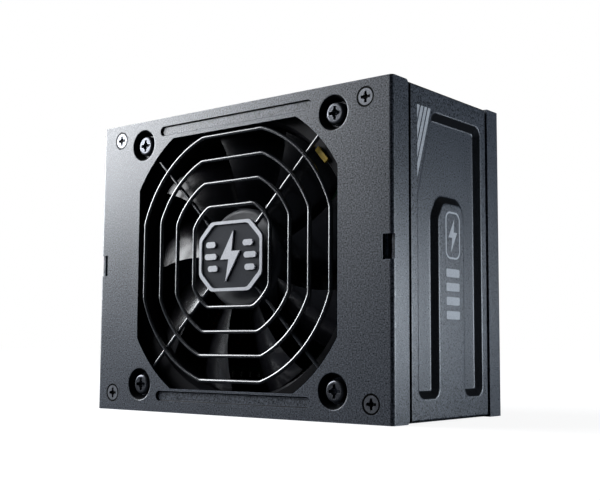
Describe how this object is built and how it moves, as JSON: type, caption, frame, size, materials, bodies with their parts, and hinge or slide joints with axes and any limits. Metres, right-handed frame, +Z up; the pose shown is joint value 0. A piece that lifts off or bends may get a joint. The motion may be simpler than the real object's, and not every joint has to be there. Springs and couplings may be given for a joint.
{
  "type": "power supply unit",
  "caption": "Compact modular computer power supply with a guarded fan, embossed sides, a mains inlet with a rocker switch, and output sockets.",
  "frame": {"origin": "middle of the base, on the face that the unit stands on", "axes": "+Z up, out of the mains side; +X along the 125 mm width, to the right when the fan is looked at; -Y out of the fan cover"},
  "size_m": [0.125, 0.0636, 0.1037],
  "materials": {
    "badge_base": "fine matte dark grey",
    "badge_bright": "satin aluminium",
    "black_coat": "fine grained black powder coat",
    "black_screw": "black zinc",
    "board": "green solder mask",
    "bright_screw": "nickel plated",
    "bronze": "sintered",
    "can_sleeve": "dark shrink sleeve",
    "copper_wire": "enamelled copper wire",
    "fan_plastic": "moulded, semi gloss black",
    "ferrite": "dark grey ferrite",
    "film": "clear to milky film",
    "film_box": "moulded box, pale yellow",
    "guard_wire": "satin black coated steel wire",
    "inlet_plastic": "moulded black",
    "lead_sleeve": "black braided sleeve",
    "magnet": "bonded ferrite",
    "package": "moulded epoxy",
    "plain_steel": "plain ground",
    "print_ink": "pale grey pad print",
    "rotor_plastic": "moulded, semi gloss black",
    "sink": "extruded",
    "socket_plastic": "moulded black",
    "switch_plastic": "moulded black",
    "tinned_pin": "tinned brass",
    "winding_tape": "dark taped winding",
    "wire_cover": "coloured wire cover",
    "yellow_tape": "yellow polyester tape"
  },
  "bodies": {
    "case": {"ac_inlet": "inlet_plastic", "ac_wires": "wire_cover", "badge_trim": "badge_bright", "bearing_sleeve": "bronze", "board_screws": "bright_screw", "board_standoffs": "bright_screw", "bridge_rectifier": "package", "bulk_capacitor": "can_sleeve", "chassis_tray": "black_coat", "control_board": "board", "corner_tape": "yellow_tape", "cover_screws": "black_screw", "emi_choke_core": "ferrite", "emi_choke_winding": "copper_wire", "fan_board": "board", "fan_cover": "black_coat", "fan_frame": "fan_plastic", "fan_guard": "guard_wire", "fan_lead": "lead_sleeve", "fan_screws": "black_screw", "guard_badge": "badge_base", "inlet_pins": "tinned_pin", "inlet_screws": "bright_screw", "insulating_sheet": "film", "main_board": "board", "output_capacitors": "can_sleeve", "output_choke_core": "ferrite", "output_choke_winding": "copper_wire", "pfc_choke_core": "ferrite", "pfc_choke_winding": "copper_wire", "primary_heatsink": "sink", "primary_transistors": "package", "secondary_heatsink": "sink", "secondary_transistors": "package", "side_panel_left": "black_coat", "side_panel_right": "black_coat", "socket_board": "board", "socket_board_aux": "socket_plastic", "socket_board_main": "socket_plastic", "socket_contacts": "tinned_pin", "socket_drive_1": "socket_plastic", "socket_drive_2": "socket_plastic", "socket_power_1": "socket_plastic", "socket_power_2": "socket_plastic", "socket_power_3": "socket_plastic", "socket_power_4": "socket_plastic", "standby_transformer": "winding_tape", "stator_coils": "copper_wire", "stator_core": "plain_steel", "switch_frame": "switch_plastic", "switch_terminals": "tinned_pin", "transformer_core": "ferrite", "transformer_winding": "winding_tape", "x_capacitors": "film_box"},
    "rotor": {"fan_rotor": "rotor_plastic", "rotor_yoke": "plain_steel", "rotor_magnet": "magnet", "fan_shaft": "plain_steel"},
    "rocker": {"switch_rocker": "switch_plastic"}
  },
  "joints": [
    {"name": "fan_spin", "type": "hinge", "parent": "case", "child": "rotor", "pos_m": [0, -0.02, 0.0503], "axis": [0, 1, 0], "continuous": true},
    {"name": "power_switch", "type": "hinge", "parent": "case", "child": "rocker", "pos_m": [0.0025, 0, 0.0982], "axis": [-1, 0, 0], "range_deg": [0, 20]}
  ]
}
